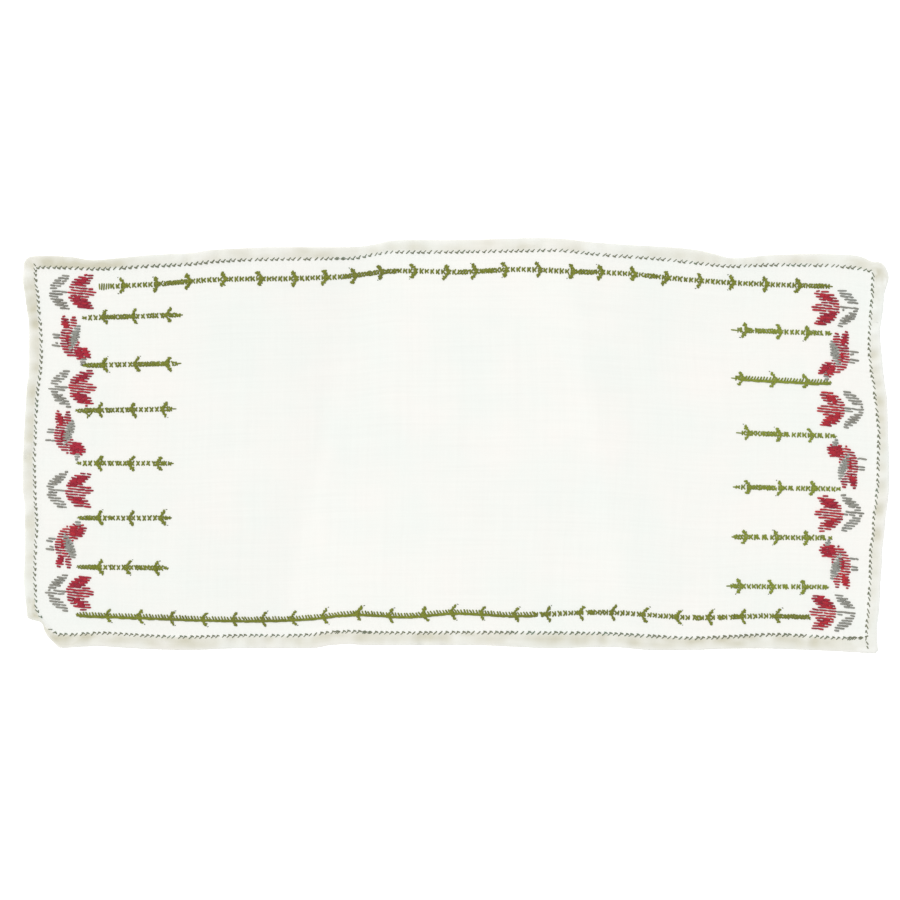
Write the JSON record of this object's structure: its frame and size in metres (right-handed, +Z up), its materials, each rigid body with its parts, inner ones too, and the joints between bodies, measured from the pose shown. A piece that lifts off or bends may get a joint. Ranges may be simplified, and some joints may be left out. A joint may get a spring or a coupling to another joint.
{
  "type": "embroidered table runner",
  "caption": "Flat linen table runner with a folded, stitched hem, green vine borders and short vine bars, and a column of red and grey motifs at each end.",
  "frame": {"origin": "bottom centre of the box round the laid cloth, on the surface it lies on", "axes": "+X along the runner, +Y across it, +Z up, out of the embroidered side"},
  "size_m": [0.7791, 0.374, 0.0026],
  "materials": {
    "linen": "plain-woven, slightly slubbed, washed and pressed",
    "green_thread": "stranded cotton with a soft sheen",
    "red_thread": "stranded cotton with a soft sheen",
    "grey_thread": "stranded cotton with a soft sheen",
    "hem_thread": "thin dark stranded cotton"
  },
  "bodies": {
    "root": {"runner_cloth": "linen"}
  },
  "joints": []
}
